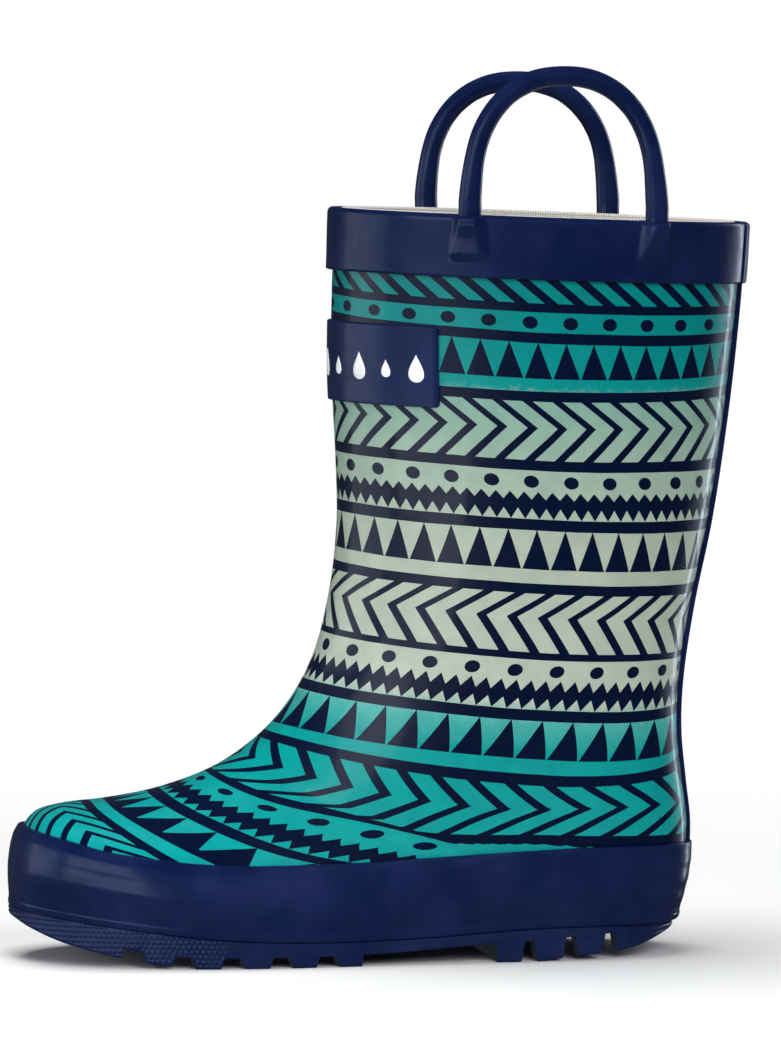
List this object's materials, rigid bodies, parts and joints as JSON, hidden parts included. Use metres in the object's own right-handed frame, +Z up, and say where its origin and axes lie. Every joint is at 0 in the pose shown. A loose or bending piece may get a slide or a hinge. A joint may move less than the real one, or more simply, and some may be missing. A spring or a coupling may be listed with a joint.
{
  "type": "child's rubber rain boot",
  "caption": "Pull-on rubber rain boot for a child's left foot, with two carrying handles at the rim, a banded shaft, a foxed sole with edge lugs and a removable footbed.",
  "frame": {"origin": "on the ground, under the middle of the whole boot's length and width", "axes": "+Z up, the toe points to -X, -Y is the outer side of the left foot"},
  "size_m": [0.209, 0.0838, 0.2489],
  "materials": {
    "navy_rubber": "glossy",
    "sole_rubber": "pebbled, satin",
    "printed_rubber": "glossy, printed with bands of teal, mint and navy shapes",
    "patch_rubber": "satin",
    "inner_rubber": "matte",
    "sponge_rubber": "matte",
    "lining_cloth": "woven canvas",
    "cotton_cloth": "woven",
    "footbed_foam": "matte foam",
    "board": "matte fibreboard"
  },
  "bodies": {
    "boot": {"outsole": "sole_rubber", "foxing_band": "navy_rubber", "midsole_filler": "sponge_rubber", "heel_filler": "sponge_rubber", "insole_board": "board", "fabric_lining": "lining_cloth", "toe_reinforcement": "inner_rubber", "heel_counter": "inner_rubber", "printed_upper": "printed_rubber", "back_seam_strip": "navy_rubber", "front_label_patch": "patch_rubber", "top_band": "navy_rubber", "outer_handle_front_anchor": "navy_rubber", "outer_handle_back_anchor": "navy_rubber", "inner_handle_front_anchor": "navy_rubber", "inner_handle_back_anchor": "navy_rubber"},
    "outer_handle": {"outer_handle_loop": "navy_rubber"},
    "inner_handle": {"inner_handle_loop": "navy_rubber"},
    "footbed": {"footbed_foam": "footbed_foam", "footbed_cover": "cotton_cloth"}
  },
  "joints": [
    {"name": "outer_handle_flex", "type": "hinge", "parent": "boot", "child": "outer_handle", "pos_m": [0.01915, -0.03784, 0.21234], "axis": [0.9993, 0.0054, -0.0381], "range_deg": [-55, 55], "stiffness_Nm_per_rad": 0.02},
    {"name": "inner_handle_flex", "type": "hinge", "parent": "boot", "child": "inner_handle", "pos_m": [0.01915, 0.03784, 0.21234], "axis": [0.9993, -0.0054, -0.0381], "range_deg": [-55, 55], "stiffness_Nm_per_rad": 0.02},
    {"name": "footbed_lift", "type": "hinge", "parent": "boot", "child": "footbed", "pos_m": [-0.094, 0, 0.016], "axis": [0, -1, 0], "range_deg": [0, 8]}
  ]
}
